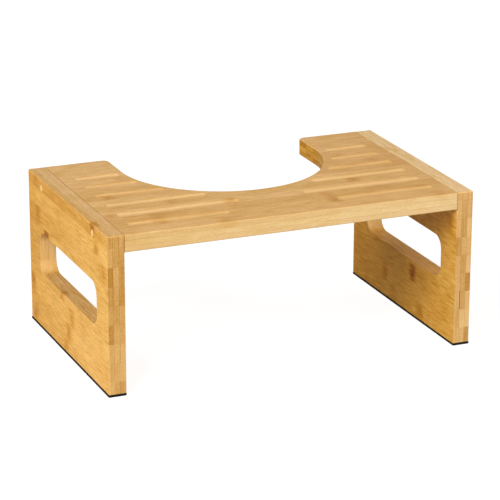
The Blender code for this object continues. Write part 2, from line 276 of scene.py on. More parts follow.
def groove_profile():
    """Depth below the top and half width of a groove, from its floor out past its softened rim."""
    slope = acos(1 - GROOVE_DEPTH / (GROOVE_CUTTER_RADIUS + GROOVE_RIM_RADIUS))
    half_width = (GROOVE_CUTTER_RADIUS + GROOVE_RIM_RADIUS) * sin(slope)
    points = []
    for k in range(1, GROOVE_SEGMENTS + 1):
        angle = slope * k / GROOVE_SEGMENTS
        depth = GROOVE_DEPTH - GROOVE_CUTTER_RADIUS * (1 - cos(angle))
        points.append((depth, GROOVE_CUTTER_RADIUS * sin(angle)))
    for k in range(1, EDGE_SEGMENTS):
        angle = slope * (1 - k / EDGE_SEGMENTS)
        points.append((GROOVE_RIM_RADIUS * (1 - cos(angle)), half_width - GROOVE_RIM_RADIUS * sin(angle)))
    return points + [(-CUT_OVERRUN, points[-1][1])]


def groove_inner_end(row, y):
    """Distance from the middle at which a row of grooves ends."""
    own_end = BOARD_END_X * (1 - GROOVE_REACH_SHARES[row])
    reach = NOTCH_RADIUS + GROOVE_NOTCH_MARGIN
    ahead = min(y - NOTCH_CENTRE_Y, 0)
    beside_notch = sqrt(max(reach ** 2 - ahead ** 2, 0))
    return max(own_end, beside_notch)


def groove_cutters():
    """Every groove's cutter, with round ends and a round floor."""
    profile = groove_profile()
    half_width = profile[-1][1]
    outer = BOARD_END_X - GROOVE_SEAM_MARGIN - half_width
    form = bmesh.new()
    for row in range(GROOVE_ROWS):
        y = FRONT_Y + GROOVE_FIRST_ROW + GROOVE_PITCH * row
        inner = groove_inner_end(row, y) + half_width
        for start, end in ((-outer, -inner), (inner, outer)):
            rings = []
            for depth, reach in profile:
                points = rounded_rectangle((start - reach, y - reach), (end + reach, y + reach), reach, 0)
                rings.append([form.verts.new((u, v, TOP_Z - depth)) for u, v in points])
            skin(form, rings)
            form.faces.new(rings[0])
            form.faces.new(rings[-1])
    return form


def board_holes():
    """Screw and dowel holes in both ends of the board."""
    form = bmesh.new()
    for side, _ in SIDES:
        mouth = side * (BOARD_END_X + CUT_OVERRUN)
        screw_hole = [(mouth, SCREW_HOLE_RADIUS), (side * (SCREW_LOW.x - FIT_GAP), SCREW_HOLE_RADIUS)]
        dowel_hole = [(mouth, DOWEL_HOLE_RADIUS), (side * (DOWEL_LOW.x - FIT_GAP), DOWEL_HOLE_RADIUS)]
        for end, _ in ENDS:
            add_turned(form, screw_hole, end * PLUG_Y, JOINT_Z)
            add_turned(form, dowel_hole, end * DOWEL_Y, JOINT_Z)
    return form


def panel_holes():
    """Stepped screw holes and blind dowel holes of the right panel."""
    step = SCREW_HIGH.x - SCREW_HEAD_HEIGHT - FIT_GAP
    screw_hole = [
        (INNER_X - CUT_OVERRUN, SCREW_HOLE_RADIUS),
        (step, SCREW_HOLE_RADIUS),
        (step, PLUG_RADIUS + FIT_GAP),
        (OUTER_X + CUT_OVERRUN, PLUG_RADIUS + FIT_GAP),
    ]
    dowel_hole = [(INNER_X - CUT_OVERRUN, DOWEL_HOLE_RADIUS), (DOWEL_HIGH.x + FIT_GAP, DOWEL_HOLE_RADIUS)]
    form = bmesh.new()
    for end, _ in ENDS:
        add_turned(form, screw_hole, end * PLUG_Y, JOINT_Z)
        add_turned(form, dowel_hole, end * DOWEL_Y, JOINT_Z)
    return form


def mesh_from(form, name):
    """Turn a bmesh into a mesh with outward faces."""
    bmesh.ops.recalc_face_normals(form, faces=form.faces)
    mesh = bpy.data.meshes.new(name)
    form.to_mesh(mesh)
    form.free()
    return mesh


def add_object(name, data):
    """Link an object with its data to the scene."""
    obj = bpy.data.objects.new(name, data)
    bpy.context.scene.collection.objects.link(obj)
    return obj


def carve(form, cutters, name):
    """Mesh of a form less its cutters."""
    body = add_object(name, mesh_from(form, name))
    helpers = [body]
    for cutter_form in cutters:
        cutter = add_object(name + "_cutter", mesh_from(cutter_form, name + "_cutter"))
        helpers.append(cutter)
        modifier = body.modifiers.new("cut", "BOOLEAN")
        modifier.operation = "DIFFERENCE"
        modifier.solver = "EXACT"
        modifier.object = cutter
    depsgraph = bpy.context.evaluated_depsgraph_get()
    mesh = bpy.data.meshes.new_from_object(body.evaluated_get(depsgraph))
    for helper in helpers:
        old = helper.data
        bpy.data.objects.remove(helper)
        bpy.data.meshes.remove(old)
    return mesh


def add_piece(name, mesh, material):
    """A shown piece that stands for the CAD node of its name and rides on the one body."""
    mesh.shade_smooth()
    mesh.set_sharp_from_angle(angle=SHARP_ANGLE)
    mesh.materials.clear()
    mesh.materials.append(material)
    piece = add_object(name + "_look", mesh)
    modifier = piece.modifiers.new("even_shading", "WEIGHTED_NORMAL")
    modifier.weight = SIZE_WEIGHT
    modifier.keep_sharp = True
    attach(piece, "root")
    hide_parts(name)


def placed(mesh, side, offset=(0, 0, 0)):
    """Copy of a mesh, turned half about Z for the left side and then moved."""
    copy = mesh.copy()
    copy.transform(Matrix.Translation(offset) @ Matrix.Rotation(pi if side < 0 else 0, 4, "Z"))
    return copy


# Materials

# Places of a mix node's two colours and of its result among its sockets
MIX_COLOUR_INPUTS = (6, 7)
MIX_COLOUR_OUTPUT = 2

PLIES = 3

# Rates of the bamboo's patterns per metre, along and across the fibres
BUNDLE_RATE = (50.0, 900.0)
STREAK_RATE = (20.0, 420.0)
FIBRE_RATE = (160.0, 2200.0)
MOTTLE_RATE = (30.0, 70.0)
DRIFT_RATE = (7.0, 9.0)
SPECKLE_RATE = (480.0, 480.0)
DASH_RATE = (180.0, 1000.0)
BLOTCH_RATE = (150.0, 150.0)
WANDER_RATE = (0.0, 130.0)
GLUE_PATCH_RATE = (9.0, 30.0)
# Rates of the layers in a strip's cut end, across the strips and through the plies
LAMINA_RATE = (12.0, 900.0)
# How far chance moves a pattern along the fibres from strip to strip, in the pattern's own units
BUNDLE_SPREAD = 60.0
STREAK_SPREAD = 90.0
DRIFT_SPREAD = 40.0
WANDER_SPREAD = 30.0
GLUE_PATCH_SPREAD = 20.0

# Swing of a pattern's shade, where 1 leads from the dark to the light colour
BOARD_GRAIN = (1.15, 1.55)
PANEL_GRAIN = (1.00, 1.90)
MOTTLE_SWING = 0.50
DRIFT_SWING = 0.60
FIBRE_SWING = 0.50
SPECKLE_SWING = 0.50
LAMINA_SWING = 0.80
DASH_DEPTH = 0.22
# Gain of the bundles on an inner face, and share of the grain that an end or a pale edge keeps
INNER_GRAIN_GAIN = 1.45
CALM_GRAIN_SHARE = 0.45
# How much the strips' tones even out on an edge and on the pale edge
EDGE_EVENNESS = 0.60
PALE_EVENNESS = 0.35

# Ramps over a pattern's value, or over a strip's tone: two limits, then the results at them
DASH_RAMP = (0.56, 0.68, 0.0, 1.0)
BLOTCH_RAMP = (0.36, 0.58, 0.3, 1.0)
BAND_SPECKLE_RAMP = (0.36, 0.60, 0.25, 1.0)
CORE_SPECKLE_RAMP = (0.2, 0.6, 0.5, 1.0)
GLUE_PATCH_RAMP = (0.42, 0.62, 0.25, 1.0)
SEAM_PATCH_RAMP = (0.42, 0.62, 0.1, 1.0)
WEAR_AND_HIGHLIGHT_RAMP = (0.35, 0.6, 0.35, 1.0)
GROOVE_TONE_RAMP = (0.30, 0.70, 0.0, 1.0)
SLOT_RAMP = (0.35, 0.60, 0.42, 0.84)
# Ramps over the way a surface faces
# The grooves' paler colour leans to their up-facing floors, painting light to match the lit walls
GROOVE_FACING_RAMP = (0.60, 0.84, 0.0, 1.0)
RIM_RAMP = (0.12, 0.42, 0.0, 1.0)

# Knuckles
KNUCKLE_WANDER = 0.009
KNUCKLE_HALF_WIDTH = 0.0095
KNUCKLE_CORE_HALF_WIDTH = 0.0056
KNUCKLE_BAND_RAMP = (0.5 * KNUCKLE_HALF_WIDTH, 1.2 * KNUCKLE_HALF_WIDTH, 1.0, 0.0)
# Half the dark core's width across its strip, as a share of the strip, and the knuckles' strength
# in the cut ends and in the inner plies' edges
KNUCKLE_CORE_SHARE = 0.36
CUT_KNUCKLE_SHARE = 0.25

# Glue lines: distances with the strengths at them, and the share left outside the cut ends
STRIP_GLUE_RAMP = (0.00012, 0.000264, 0.4, 0.0)
PLY_GLUE_RAMP = (0.00020, 0.00052, 1.0, 0.0)
PLY_GLUE_SIDE_SHARE = 0.65
GLUE_STRENGTH = 0.80

# Distances with the strengths at them: from a panel's front for its cut ends there, from the pale
# edge for its tints, down from the top for a groove's start and its floor, from a panel's ends for
# the slot's cut ends, and from a ply's glue for the board's open seams and for the gaping joint
FRONT_END_RAMP = (0.02, 0.03, 1.0, 0.0)
PALE_EDGE_RAMP = (0.004, 0.006, 1.0, 0.0)
GROOVE_TOP_RAMP = (0.0001, 0.0004, 0.0, 1.0)
GROOVE_FLOOR_RAMP = (GROOVE_DEPTH + 0.0001, GROOVE_DEPTH + 0.0004, 1.0, 0.0)
SLOT_END_RAMP = (0.01, 0.02, 0.0, 1.0)
SEAM_RAMP = (0.0003, 0.0010, 1.0, 0.0)
OPEN_JOINT_RAMP = (0.0003, 0.0007, 1.0, 0.0)
# Strength of the gaping joint, and of the grooves' paler colour, which also paints light on their floors
OPEN_JOINT_STRENGTH = 0.85
GROOVE_FRESH_AND_LIT_SHARE = 0.60

# Dark line where the board meets a panel, stronger at the front edge and fading to the rear
JOINT_RAMP = (0.0, 0.0007, 1.0, 0.0)
JOINT_FRONT_RAMP = (0.001, 0.006, 0.80, 0.60)
JOINT_REAR_RAMP = (0.140, 0.180, 1.0, 0.10)
# Distance over which the end of a joint's line fades
JOINT_FADE = 0.001

# Strength of the paler worn rims, which also paint a highlight along the rounded edges
BOARD_WEAR_AND_HIGHLIGHT = 0.08
PANEL_WEAR_AND_HIGHLIGHT = 0.40

# Lacquer: roughness with its swings and additions, then the patterns' heights in its relief, and
# the relief's height and strength
LACQUER_ROUGHNESS = 0.40
BUNDLE_ROUGHNESS = 0.16
MOTTLE_ROUGHNESS = 0.14
WEAR_ROUGHNESS = 0.08
GLUE_ROUGHNESS = 0.10
LACQUER_IOR = 1.5
BAMBOO_GLOSS = 0.03
BUNDLE_HEIGHT = 0.50
FIBRE_HEIGHT = 0.35
CORE_HEIGHT = 0.25
GLUE_HEIGHT = -0.60
BAMBOO_RELIEF = (0.00018, 0.45)

# Shares that tint a wood's colour; a knuckle has its halo's, its band's and its core's
OLIVE_TINT = (0.99, 1.00, 0.96)
PINK_TINT = (1.00, 0.985, 1.03)
BOARD_KNUCKLE_TINTS = ((0.98, 0.91, 0.62), (0.79, 0.60, 0.32), (0.68, 0.49, 0.20))
PANEL_KNUCKLE_TINTS = ((0.96, 0.90, 0.36), (0.74, 0.52, 0.10), (0.60, 0.43, 0.00))
GLUE_TINT = (0.72, 0.55, 0.30)
JOINT_TINT = (0.50, 0.36, 0.20)
OPEN_JOINT_TINT = (0.42, 0.27, 0.10)

# Colours
# Paler colours of newly cut grooves and slot ends, raised further as painted light
GROOVE_FRESH_AND_LIT_COLOUR = (0.86, 0.575, 0.28)
GROOVE_DARK_FRESH_AND_LIT_COLOUR = (0.76, 0.46, 0.19)
SLOT_FRESH_AND_LIT_COLOUR = (0.95, 0.62, 0.25)
# Paler colour of worn rims, also a painted highlight on the rounded edges
WORN_AND_HIGHLIGHT_COLOUR = (0.88, 0.58, 0.24)
PLUG_COLOURS = ((0.92, 0.54, 0.18), (0.99, 0.69, 0.30))
PLUG_CLOUD_COLOUR = (0.86, 0.48, 0.14)
DOWEL_COLOURS = ((0.50, 0.30, 0.15), (0.72, 0.50, 0.30))
DOWEL_FLECK_COLOUR = (0.30, 0.15, 0.07)
ZINC_COLOURS = ((0.50, 0.50, 0.48), (0.74, 0.74, 0.71))
RUBBER_COLOUR = (0.006, 0.006, 0.006)
DUST_COLOUR = (0.016, 0.015, 0.014)

# Rates of the smaller pieces' patterns per metre, along X and across it
PLUG_RATE = (60.0, 1500.0)
PLUG_CLOUD_RATE = (260.0, 260.0)
DOWEL_RATE = (90.0, 1300.0)
DOWEL_FLECK_RATE = (420.0, 1300.0)
ZINC_CLOUD_RATE = (380.0, 380.0)
ZINC_SCRATCH_RATE = (300.0, 2600.0)
RUBBER_PIT_RATE = (2400.0, 2400.0)
RUBBER_DUST_RATE = (130.0, 130.0)
# Ramps over their clouds, flecks and dust
PLUG_CLOUD_RAMP = (0.4, 0.75, 0.0, 0.35)
DOWEL_FLECK_RAMP = (0.62, 0.74, 0.0, 0.6)
RUBBER_DUST_RAMP = (0.45, 0.8, 0.0, 1.0)
# Their least and greatest roughness, then the height and the strength of their relief
PLUG_ROUGHNESS = (0.34, 0.54)
DOWEL_ROUGHNESS = (0.5, 0.7)
ZINC_ROUGHNESS = (0.18, 0.48)
RUBBER_ROUGHNESS = (0.72, 0.92)
RUBBER_GLOSS = 0.15
PLUG_RELIEF = (0.0001, 0.4)
DOWEL_RELIEF = (0.00012, 0.5)
ZINC_RELIEF = (0.00005, 0.4)
RUBBER_RELIEF = (0.0002, 0.6)

# A ply's strips: tone, then for each of two knuckles its place along the strip, its strength and
# its core's place across, the places as shares
BOARD_PITCH = 0.02075
BOARD_STRIPS = (
    (0.52, (0.32, 0.30, 0.5), (0.91, 0.25, 0.5)),
    (0.48, (0.17, 0.35, 0.4), (0.64, 0.60, 0.5)),
    (0.44, (0.17, 0.20, 0.6), (0.64, 0.30, 0.4)),
    (0.68, (0.065, 0.35, 0.4), (0.39, 0.45, 0.7)),
    (0.50, (0.25, 0.24, 0.5), (0.755, 0.50, 0.5)),
    (0.62, (0.50, 0.30, 0.5), (0.97, 0.20, 0.5)),
    (0.36, (0.11, 0.42, 0.5), (0.58, 0.30, 0.5)),
    (0.50, (0.40, 0.30, 0.5), (0.88, 0.15, 0.5)),
    (0.46, (0.01, 0.20, 0.5), (0.52, 0.30, 0.5)),
    (0.52, (0.19, 0.20, 0.5), (0.70, 0.15, 0.5)),
    (0.58, (0.45, 0.30, 0.5), (0.95, 0.15, 0.5)),
    (0.56, (0.05, 0.15, 0.5), (0.50, 0.30, 0.5)),
    (0.60, (0.85, 0.15, 0.5), (0.35, 0.30, 0.5)),
    (0.56, (0.15, 0.15, 0.5), (0.60, 0.30, 0.5)),
)
# Tones of the strips' cut ends, ply by ply, for the board and below for each panel
BOARD_ENDS = (
    (0.60, 0.45, 0.55, 0.70, 0.35, 0.60, 0.50, 0.30, 0.62, 0.35, 0.25, 0.64, 0.05, 0.10),
    (0.50, 0.60, 0.30, 0.45, 0.60, 0.40, 0.55, 0.60, 0.35, 0.60, 0.55, 0.45, 0.85, 0.75),
    (0.40, 0.55, 0.60, 0.35, 0.50, 0.60, 0.40, 0.50, 0.60, 0.10, 0.05, 0.45, 0.30, 0.35),
)
PANEL_PITCH = 0.022
LEFT_PANEL_STRIPS = (
    (0.60, (0.53, 0.45, 0.68), (0.94, 0.45, 0.77)),
    (0.62, (0.50, 0.55, 0.50), (0.02, 0.15, 0.50)),
    (0.62, (0.45, 0.50, 0.41), (0.963, 0.75, 0.60)),
    (0.58, (0.575, 0.45, 0.25), (0.10, 0.10, 0.50)),
    (0.56, (0.30, 0.20, 0.50), (0.85, 0.20, 0.50)),
    (0.50, (0.766, 2.40, 0.86), (0.35, 0.15, 0.50)),
    (0.46, (0.88, 0.50, 0.64), (0.044, 0.35, 0.55)),
    (0.62, (0.135, 0.50, 0.50), (0.60, 0.10, 0.50)),
    (0.30, (0.175, 0.90, 0.34), (0.90, 0.20, 0.50)),
)
LEFT_PANEL_ENDS = (
    (0.75, 0.60, 0.60, 0.10, 0.40, 0.25, 0.00, 0.50, 0.30),
    (0.50, 0.65, 0.75, 0.60, 0.40, 0.40, 0.60, 0.45, 0.40),
    (0.50, 0.75, 0.65, 0.55, 0.50, 0.25, 0.30, 0.35, 0.50),
)
RIGHT_PANEL_STRIPS = (
    (0.50, (0.319, 0.55, 0.60), (0.85, 0.20, 0.50)),
    (0.52, (0.667, 0.65, 0.50), (0.10, 0.10, 0.50)),
    (0.54, (0.396, 1.40, 0.50), (0.95, 0.10, 0.50)),
    (0.54, (0.20, 0.20, 0.50), (0.75, 0.20, 0.50)),
    (0.52, (0.55, 0.20, 0.50), (0.98, 0.20, 0.50)),
    (0.50, (0.30, 0.20, 0.50), (0.80, 0.20, 0.50)),
    (0.46, (0.05, 0.50, 0.50), (0.60, 0.20, 0.50)),
    (0.52, (0.45, 0.20, 0.50), (0.90, 0.20, 0.50)),
    (0.54, (0.25, 0.20, 0.50), (0.70, 0.20, 0.50)),
)
RIGHT_PANEL_ENDS = (
    (0.60, 0.45, 0.55, 0.45, 0.50, 0.25, 0.55, 0.50, 0.45),
    (0.60, 0.85, 0.40, 0.40, 0.30, 0.45, 0.30, 0.40, 0.50),
    (0.20, 0.80, 0.60, 0.10, 0.75, 0.55, 0.75, 0.50, 0.50),
)


class Nodes:
    """Short calls that build one node tree."""

    def __init__(self, owner):
        owner.use_nodes = True
        self.tree = owner.node_tree
        self.shader = self.tree.nodes.get("Principled BSDF")

    def add(self, kind, **settings):
        """A node with its settings."""
        node = self.tree.nodes.new(kind)
        for setting, value in settings.items():
            setattr(node, setting, value)
        return node

    def feed(self, socket, value):
        """Link an output to a socket, or set the socket's own value."""
        if isinstance(value, bpy.types.NodeSocket):
            self.tree.links.new(value, socket)
        else:
            socket.default_value = value

    def math(self, operation, *values, clamp=False):
        """Result of one math node."""
        node = self.add("ShaderNodeMath", operation=operation, use_clamp=clamp)
        for socket, value in zip(node.inputs, values):
            self.feed(socket, value)
        return node.outputs[0]

    def total(self, *values):
        """Sum of several values."""
        result = values[0]
        for value in values[1:]:
            result = self.math("ADD", result, value)
        return result

    def product(self, *values):
        """Product of several values."""
        result = values[0]
        for value in values[1:]:
            result = self.math("MULTIPLY", result, value)
        return result

    def ramp(self, value, low, high, from_value=0.0, to_value=1.0):
        """Smooth step of a value between two limits."""
        node = self.add("ShaderNodeMapRange", interpolation_type="SMOOTHSTEP")
        for socket, given in zip(node.inputs, (value, low, high, from_value, to_value)):
            self.feed(socket, given)
        return node.outputs[0]

    def swing(self, value, amount):
        """A value around one half, turned into a swing around nothing."""
        return self.math("MULTIPLY_ADD", value, amount, -amount / 2)

    def between(self, share, first, second):
        """Number that goes from the first to the second as a share goes from 0 to 1."""
        linked = isinstance(first, bpy.types.NodeSocket)
        difference = self.math("SUBTRACT", second, first) if linked else second - first
        return self.math("MULTIPLY_ADD", share, difference, first)

    def bell(self, distance, half_width):
        """One at zero distance, falling smoothly to nothing at about twice the half width."""
        scaled = self.math("DIVIDE", distance, half_width)
        squared = self.math("MULTIPLY", scaled, scaled)
        return self.math("EXPONENT", self.math("MULTIPLY", squared, -1.0))

    def vector(self, x, y, z):
        """Vector of three values."""
        node = self.add("ShaderNodeCombineXYZ")
        for socket, value in zip(node.inputs, (x, y, z)):
            self.feed(socket, value)
        return node.outputs[0]

    def parts(self, vector):
        """The three values of a vector."""
        node = self.add("ShaderNodeSeparateXYZ")
        self.feed(node.inputs[0], vector)
        return list(node.outputs)

    def along_x(self, rates):
        """An object's own point, scaled by one rate along X and by the other across it."""
        x, y, z = self.parts(self.add("ShaderNodeTexCoord").outputs["Object"])
        along, across = rates
        return self.vector(self.product(x, along), self.product(y, across), self.product(z, across))

    def noise(self, vector, detail=2.0, roughness=0.5):
        """Noise value at a point that is already scaled, around one half."""
        node = self.add("ShaderNodeTexNoise")
        self.feed(node.inputs["Vector"], vector)
        self.feed(node.inputs["Scale"], 1.0)
        self.feed(node.inputs["Detail"], detail)
        self.feed(node.inputs["Roughness"], roughness)
        return node.outputs["Fac"]

    def random(self, vector):
        """Random value that a whole cell shares."""
        node = self.add("ShaderNodeTexWhiteNoise")
        self.feed(node.inputs["Vector"], vector)
        return node.outputs["Value"]

    def steps(self, share, rows):
        """The three numbers in whose stretch a share from 0 to 1 falls."""
        node = self.add("ShaderNodeValToRGB")
        ramp = node.color_ramp
        ramp.interpolation = "CONSTANT"
        for index, row in enumerate(rows):
            stop = ramp.elements.new(index / len(rows)) if index else ramp.elements[0]
            stop.color = (*row, 1)
        self.feed(node.inputs[0], share)
        numbers = self.add("ShaderNodeSeparateColor")
        self.feed(numbers.inputs[0], node.outputs[0])
        return list(numbers.outputs)

    def blend(self, share, first, second, mode="MIX"):
        """Mix of two colours, each an output or its red, green and blue."""
        node = self.add("ShaderNodeMix", data_type="RGBA", blend_type=mode)
        self.feed(node.inputs["Factor"], share)
        for index, colour in zip(MIX_COLOUR_INPUTS, (first, second)):
            linked = isinstance(colour, bpy.types.NodeSocket)
            self.feed(node.inputs[index], colour if linked else (*colour, 1))
        return node.outputs[MIX_COLOUR_OUTPUT]

    def mix_shaders(self, share, first, second):
        """Mix of two shader nodes."""
        node = self.add("ShaderNodeMixShader")
        for socket, value in zip(node.inputs, (share, first.outputs[0], second.outputs[0])):
            self.feed(socket, value)
        return node

    def bump(self, height, distance, strength):
        """Feed a height to the shader's normal."""
        node = self.add("ShaderNodeBump")
        self.feed(node.inputs["Strength"], strength)
        self.feed(node.inputs["Distance"], distance)
        self.feed(node.inputs["Height"], height)
        self.feed(self.shader.inputs["Normal"], node.outputs[0])

    def set(self, **values):
        """Set or link the shader's inputs; an underscore in a name stands for a space."""
        for name, value in values.items():
            self.feed(self.shader.inputs[name.replace("_", " ")], value)


def bamboo(
    name, along, across, through, length, pitch, shift, turns, rows, ends, light, dark, end_dark,
    tints_and_painted_light, knuckle_tints, grain, pale_edge, inner_side, milled=False, open_joint=None,
):
    """Lacquered three-ply bamboo as a solid texture, so every face shows its own cut of it.

    along, across and through each give an axis, where it starts and its direction: along the
    fibres, across the strips of a ply and through the plies. pitch and shift place the strips.
    A row of the strips' table holds a tone and two knuckles, and turns are how many rows each
    ply starts further on. ends hold the tones of the strips' cut ends, ply by ply: on every cut
    of the board and at a panel's front. end_dark takes dark's place on cut ends. tints holds
    pairs for the face, the pale edge and the inner face, for both ends of the length, and one
    tint each for the other edges and for the ends; besides each surface's own colour they hold
    painted light: light painted stronger or weaker along the length, painted sheen on the
    board's top and the panels' top edges, and painted shade on the panels' inner faces and,
    with the wood's own darker colour, on the board's notch wall. grain is the swing of the
    streaks and of the bundles. pale_edge is the pale edge's place across the strips, and
    inner_side the direction through the plies in which the inner face looks. milled wood has
    grooves. open_joint is the stretch across the strips along which the front end's first
    joint between two plies gapes.
    """
    material = bpy.data.materials.new(name)
    n = Nodes(material)
    seed = len(bpy.data.materials) + 0.5
    coordinates = n.add("ShaderNodeTexCoord")
    point = n.parts(coordinates.outputs["Object"])
    facing = n.parts(coordinates.outputs["Normal"])
    u, v, w = [
        n.math("MULTIPLY_ADD", point[axis], float(sign), -sign * start)
        for axis, start, sign in (along, across, through)
    ]
    on_end, on_edge, on_face = [
        n.math("MULTIPLY", facing[axis], facing[axis]) for axis in (along[0], across[0], through[0])
    ]

    # Ply, strip and their tones
    ply_thickness = PANEL_THICKNESS / PLIES
    ply = n.math("FLOOR", n.math("DIVIDE", w, ply_thickness))
    ply = n.math("MINIMUM", n.math("MAXIMUM", ply, 0.0), PLIES - 1.0)
    ply_share = n.math("DIVIDE", n.math("ADD", ply, 0.5), float(PLIES))
    turn = n.steps(ply_share, [(rows_on, 0, 0) for rows_on in turns])[0]
    strip_place = n.math("MULTIPLY_ADD", v, 1 / pitch, shift)
    strip = n.math("FLOOR", strip_place)
    inside = n.math("SUBTRACT", strip_place, strip)
    count = float(len(rows))
    row = n.math("FRACT", n.math("DIVIDE", n.total(strip, turn, 0.5), count))
    tone = n.steps(row, [(own_tone, 0, 0) for own_tone, _, _ in rows])[0]
    end_tones = n.steps(n.math("DIVIDE", n.math("ADD", strip, 0.5), count), list(zip(*ends)))
    end_tone = end_tones[0]
    for number in range(1, PLIES):
        in_ply = n.math("GREATER_THAN", ply, number - 0.5)
        end_tone = n.between(in_ply, end_tone, end_tones[number])
    chance = n.random(n.vector(strip, ply, seed))
    other_chance = n.random(n.vector(strip, ply, -seed))

    # Patterns
    def stretched(rates, spread=0.0):
        """Point scaled along and across the fibres, moved by chance in every strip."""
        start = n.math("MULTIPLY_ADD", chance, spread, n.product(u, rates[0]))
        return n.vector(start, n.product(v, rates[1]), n.product(w, rates[1]))

    bundles = n.noise(stretched(BUNDLE_RATE, BUNDLE_SPREAD), detail=3.0, roughness=0.6)
    streaks = n.noise(stretched(STREAK_RATE, STREAK_SPREAD), detail=3.0, roughness=0.55)
    fibres = n.noise(stretched(FIBRE_RATE))
    mottle = n.noise(stretched(MOTTLE_RATE))
    drift = n.noise(stretched(DRIFT_RATE, DRIFT_SPREAD), detail=1.0)
    speckle = n.noise(stretched(SPECKLE_RATE), roughness=0.6)
    dashes = n.ramp(n.noise(stretched(DASH_RATE), detail=1.0), *DASH_RAMP)
    laminae = n.noise(n.vector(n.product(v, LAMINA_RATE[0]), n.product(w, LAMINA_RATE[1]), chance))
    blotch = n.ramp(n.noise(stretched(BLOTCH_RATE)), *BLOTCH_RAMP)
    glue_patch = n.ramp(n.noise(stretched(GLUE_PATCH_RATE, GLUE_PATCH_SPREAD)), *GLUE_PATCH_RAMP)

    # Knuckles
    halos, bands, cores = [], [], []
    wander = n.swing(n.noise(stretched(WANDER_RATE, WANDER_SPREAD)), KNUCKLE_WANDER)
    for knuckle in (1, 2):
        place, strength, middle = n.steps(row, [own_row[knuckle] for own_row in rows])
        distance = n.total(u, wander, n.product(place, -length))
        sideways = n.math("SUBTRACT", inside, middle)
        halo = n.bell(distance, KNUCKLE_HALF_WIDTH)
        band = n.ramp(n.math("ABSOLUTE", distance), *KNUCKLE_BAND_RAMP)
        band = n.product(band, n.ramp(speckle, *BAND_SPECKLE_RAMP), blotch)
        core = n.product(n.bell(distance, KNUCKLE_CORE_HALF_WIDTH), n.bell(sideways, KNUCKLE_CORE_SHARE))
        core = n.product(core, n.ramp(speckle, *CORE_SPECKLE_RAMP))
        halos.append(n.product(halo, strength))
        bands.append(n.product(band, strength))
        cores.append(n.product(core, strength))
    hidden = n.math("MAXIMUM", n.product(on_edge, n.math("MINIMUM", ply, 1.0)), on_end)
    shown = n.between(hidden, 1.0, CUT_KNUCKLE_SHARE)
    halo, band, core = [
        n.math("MULTIPLY", n.total(*both), shown, clamp=True) for both in (halos, bands, cores)
    ]

    # Glue lines
    strip_edge = n.product(n.math("MINIMUM", inside, n.math("SUBTRACT", 1.0, inside)), pitch)
    from_middle = n.math("ABSOLUTE", n.math("SUBTRACT", w, PANEL_THICKNESS / 2))
    ply_edge = n.math("ABSOLUTE", n.math("SUBTRACT", from_middle, ply_thickness / 2))
    ply_glue = n.ramp(ply_edge, *PLY_GLUE_RAMP)
    ply_glue = n.product(ply_glue, n.between(on_end, PLY_GLUE_SIDE_SHARE, 1.0))
    glue = n.product(n.math("MAXIMUM", n.ramp(strip_edge, *STRIP_GLUE_RAMP), ply_glue), glue_patch)

    # Shade between the dark and the light colour
    at_front = on_end if milled else n.product(on_end, n.ramp(u, *FRONT_END_RAMP))
    outermost = n.ramp(n.math("ABSOLUTE", n.math("SUBTRACT", v, pale_edge)), *PALE_EDGE_RAMP)
    evenness = n.product(on_edge, n.between(outermost, EDGE_EVENNESS, PALE_EVENNESS))
    cut_tone = n.between(at_front, tone, end_tone)
    cut_tone = n.math("MULTIPLY_ADD", n.math("SUBTRACT", 0.5, tone), evenness, cut_tone)
    calm = n.math("MAXIMUM", on_end, n.product(on_edge, outermost))
    across_grain = n.between(calm, 1.0, CALM_GRAIN_SHARE)
    inward = n.math("MULTIPLY", facing[through[0]], float(inner_side), clamp=True)
    bundle_gain = n.product(n.between(inward, 1.0, INNER_GRAIN_GAIN), across_grain)
    shade = n.total(
        cut_tone,
        n.product(n.swing(streaks, grain[0]), across_grain),
        n.product(n.swing(bundles, grain[1]), bundle_gain),
        n.product(n.swing(mottle, MOTTLE_SWING), across_grain),
        n.product(n.swing(drift, DRIFT_SWING), across_grain),
        n.swing(fibres, FIBRE_SWING),
        n.swing(speckle, SPECKLE_SWING),
        n.product(dashes, across_grain, -DASH_DEPTH),
        n.product(n.swing(laminae, LAMINA_SWING), on_end),
    )
    colour = n.blend(n.math("ADD", shade, 0.0, clamp=True), n.blend(on_end, dark, end_dark), light)

    # Tints of the faces, the edges and the ends, with painted light in them: light painted stronger
    # or weaker along the length, painted sheen on tops, and painted shade on the inner faces
    progress = n.math("DIVIDE", u, length)
    face_tint_and_painted_light = n.blend(n.math("MULTIPLY", progress, progress), *tints_and_painted_light["face"])
    face_tint_and_painted_light = n.blend(inward, face_tint_and_painted_light, n.blend(progress, *tints_and_painted_light["inner"]))
    edge_tint_and_painted_light = n.blend(outermost, tints_and_painted_light["edge"], n.blend(progress, *tints_and_painted_light["pale"]))
    tint = n.blend(on_end, n.blend(on_edge, face_tint_and_painted_light, edge_tint_and_painted_light), tints_and_painted_light["end"])
    colour = n.blend(1.0, colour, tint, "MULTIPLY")
    colour = n.blend(1.0, colour, n.blend(other_chance, OLIVE_TINT, PINK_TINT), "MULTIPLY")

